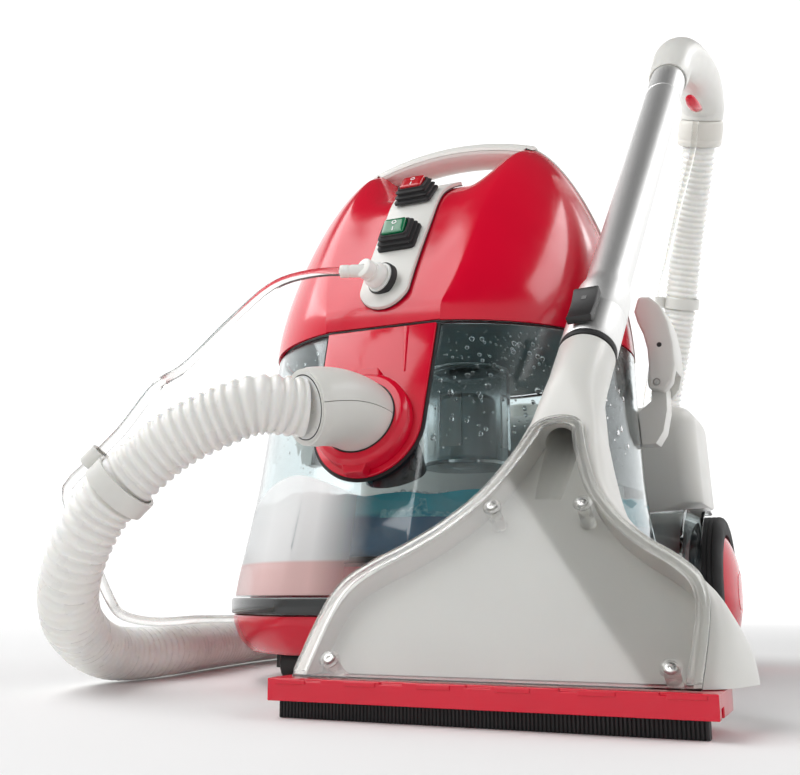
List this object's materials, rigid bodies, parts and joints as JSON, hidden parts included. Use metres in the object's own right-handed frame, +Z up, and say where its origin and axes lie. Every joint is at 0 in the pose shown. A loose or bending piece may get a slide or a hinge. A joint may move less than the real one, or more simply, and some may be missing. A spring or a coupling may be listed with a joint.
{
  "type": "spray extraction carpet cleaner",
  "caption": "Wet carpet and upholstery cleaner on wheels: clear recovery tank, latched motor head, rear water tank, corrugated hose and parked wand with a squeegee nozzle.",
  "frame": {"origin": "on the floor, below the middle of the footprint of the machine and its parked wand, leaving out the hose and the solution tube", "axes": "+Z up, -Y towards the side with the hose inlet and the parked nozzle, +X towards the right-hand side seen from behind"},
  "size_m": [0.4975, 0.8097, 0.6434],
  "materials": {
    "red_plastic": "glossy red",
    "light_grey_plastic": "satin light grey",
    "black_plastic": "matte black",
    "black_rubber": "matte black",
    "tyre_rubber": "matte black",
    "smoked_clear": "clear, lightly smoked",
    "clear_plastic": "clear, polished",
    "satin_aluminium": "satin anodised",
    "steel": "bright steel",
    "green_plastic": "translucent green",
    "white_plastic": "satin white",
    "hose_vinyl": "corrugated off-white vinyl"
  },
  "bodies": {
    "machine": {"base_pan": "red_plastic", "recovery_tank": "smoked_clear", "tank_band": "smoked_clear", "tank_gasket": "black_rubber", "inlet_bib": "red_plastic", "inlet_collar": "red_plastic", "inlet_duct": "black_plastic", "inlet_elbow_upper": "light_grey_plastic", "inlet_elbow_lower": "light_grey_plastic", "rear_axle": "steel", "wheel_guard_left": "smoked_clear", "wheel_guard_right": "smoked_clear", "latch_bracket_left": "light_grey_plastic", "latch_bracket_right": "light_grey_plastic", "latch_pin_left": "steel", "latch_pin_right": "steel", "vacuum_hose": "hose_vinyl", "hose_clip_front": "light_grey_plastic", "hose_clip_rear": "light_grey_plastic", "solution_tube_front": "clear_plastic", "solution_tube_rear": "clear_plastic"},
    "rear_wheel_left": {"rear_tyre_left": "tyre_rubber", "rear_hub_left": "red_plastic"},
    "rear_wheel_right": {"rear_tyre_right": "tyre_rubber", "rear_hub_right": "red_plastic"},
    "caster_left": {"caster_fork_left": "black_plastic"},
    "caster_right": {"caster_fork_right": "black_plastic"},
    "caster_roller_left": {"caster_wheel_left": "black_plastic"},
    "caster_roller_right": {"caster_wheel_right": "black_plastic"},
    "latch_left": {"latch_lever_left": "light_grey_plastic"},
    "latch_right": {"latch_lever_right": "light_grey_plastic"},
    "head": {"head_shell_front": "red_plastic", "head_shell_rear": "light_grey_plastic", "head_plate": "black_plastic", "vacuum_motor": "black_plastic", "water_pump": "black_plastic", "float_cage": "black_plastic", "carry_handle_upper": "light_grey_plastic", "carry_handle_lower": "light_grey_plastic", "control_panel": "light_grey_plastic", "power_boot": "black_rubber", "pump_boot": "black_rubber", "outlet_socket": "black_plastic", "quick_connector": "white_plastic"},
    "impeller": {"motor_impeller": "satin_aluminium"},
    "float": {"shutoff_float": "white_plastic"},
    "power_switch": {"power_rocker": "red_plastic"},
    "pump_switch": {"pump_rocker": "green_plastic"},
    "solution_tank_body": {"solution_tank": "light_grey_plastic"},
    "cap": {"solution_cap": "light_grey_plastic"},
    "wand": {"wand_tube": "satin_aluminium", "neck_seal": "black_rubber", "wand_grip": "light_grey_plastic", "hose_cuff": "light_grey_plastic"},
    "trigger": {"grip_trigger": "red_plastic"},
    "lock": {"lock_button": "black_plastic"},
    "nozzle": {"nozzle_shell": "light_grey_plastic", "nozzle_cover": "clear_plastic", "lip_holder": "red_plastic", "squeegee": "black_rubber"}
  },
  "joints": [
    {"name": "rear_wheel_left_spin", "type": "hinge", "parent": "machine", "child": "rear_wheel_left", "pos_m": [-0.1866, 0.114, 0.064], "axis": [1, 0, 0], "continuous": true},
    {"name": "caster_left_swivel", "type": "hinge", "parent": "machine", "child": "caster_left", "pos_m": [-0.0966, -0.173, 0.0405], "axis": [0, 0, 1], "continuous": true},
    {"name": "caster_left_roll", "type": "hinge", "parent": "caster_left", "child": "caster_roller_left", "pos_m": [-0.0966, -0.1665, 0.0155], "axis": [1, 0, 0], "continuous": true},
    {"name": "latch_left_open", "type": "hinge", "parent": "machine", "child": "latch_left", "pos_m": [-0.1861, -0.018, 0.221], "axis": [0, -1, 0], "range_deg": [0, 75]},
    {"name": "rear_wheel_right_spin", "type": "hinge", "parent": "machine", "child": "rear_wheel_right", "pos_m": [0.1394, 0.114, 0.064], "axis": [1, 0, 0], "continuous": true},
    {"name": "caster_right_swivel", "type": "hinge", "parent": "machine", "child": "caster_right", "pos_m": [0.0494, -0.173, 0.0405], "axis": [0, 0, 1], "continuous": true},
    {"name": "caster_right_roll", "type": "hinge", "parent": "caster_right", "child": "caster_roller_right", "pos_m": [0.0494, -0.1665, 0.0155], "axis": [1, 0, 0], "continuous": true},
    {"name": "latch_right_open", "type": "hinge", "parent": "machine", "child": "latch_right", "pos_m": [0.1389, -0.018, 0.221], "axis": [0, 1, 0], "range_deg": [0, 75]},
    {"name": "head_lift", "type": "slide", "parent": "machine", "child": "head", "axis": [0, 0, 1], "range_m": [0, 0.024]},
    {"name": "impeller_spin", "type": "hinge", "parent": "head", "child": "impeller", "pos_m": [-0.0236, -0.023, 0.2504], "axis": [0, 0, 1], "continuous": true},
    {"name": "float_rise", "type": "slide", "parent": "head", "child": "float", "axis": [0, 0, 1], "range_m": [0, 0.012]},
    {"name": "power_press", "type": "hinge", "parent": "head", "child": "power_switch", "pos_m": [-0.0236, -0.12868, 0.37193], "axis": [-1, 0, 0], "range_deg": [0, 14]},
    {"name": "pump_press", "type": "hinge", "parent": "head", "child": "pump_switch", "pos_m": [-0.0236, -0.1617, 0.32494], "axis": [-1, 0, 0], "range_deg": [0, 14]},
    {"name": "solution_tank_lift", "type": "slide", "parent": "machine", "child": "solution_tank_body", "axis": [0, 0, 1], "range_m": [0, 0.12]},
    {"name": "cap_unscrew", "type": "hinge", "parent": "solution_tank_body", "child": "cap", "pos_m": [-0.0236, 0.1555, 0.232], "axis": [0, 0, 1], "range_deg": [0, 540]},
    {"name": "wand_lift", "type": "slide", "parent": "machine", "child": "wand", "axis": [0, 0, 1], "range_m": [0, 0.1]},
    {"name": "trigger_pull", "type": "hinge", "parent": "wand", "child": "trigger", "pos_m": [0.1502, 0.252, 0.582], "axis": [-1, 0, 0], "range_deg": [0, 6], "stiffness_Nm_per_rad": 0.1, "springref_deg": -2.86},
    {"name": "lock_press", "type": "hinge", "parent": "wand", "child": "lock", "pos_m": [0.11802, -0.17462, 0.24579], "axis": [0.9943, -0.1064, 0.0066], "range_deg": [0, 4], "stiffness_Nm_per_rad": 0.05, "springref_deg": -2.86},
    {"name": "nozzle_release", "type": "slide", "parent": "wand", "child": "nozzle", "axis": [-0.0617, -0.6243, -0.7787], "range_m": [0, 0.05]}
  ]
}
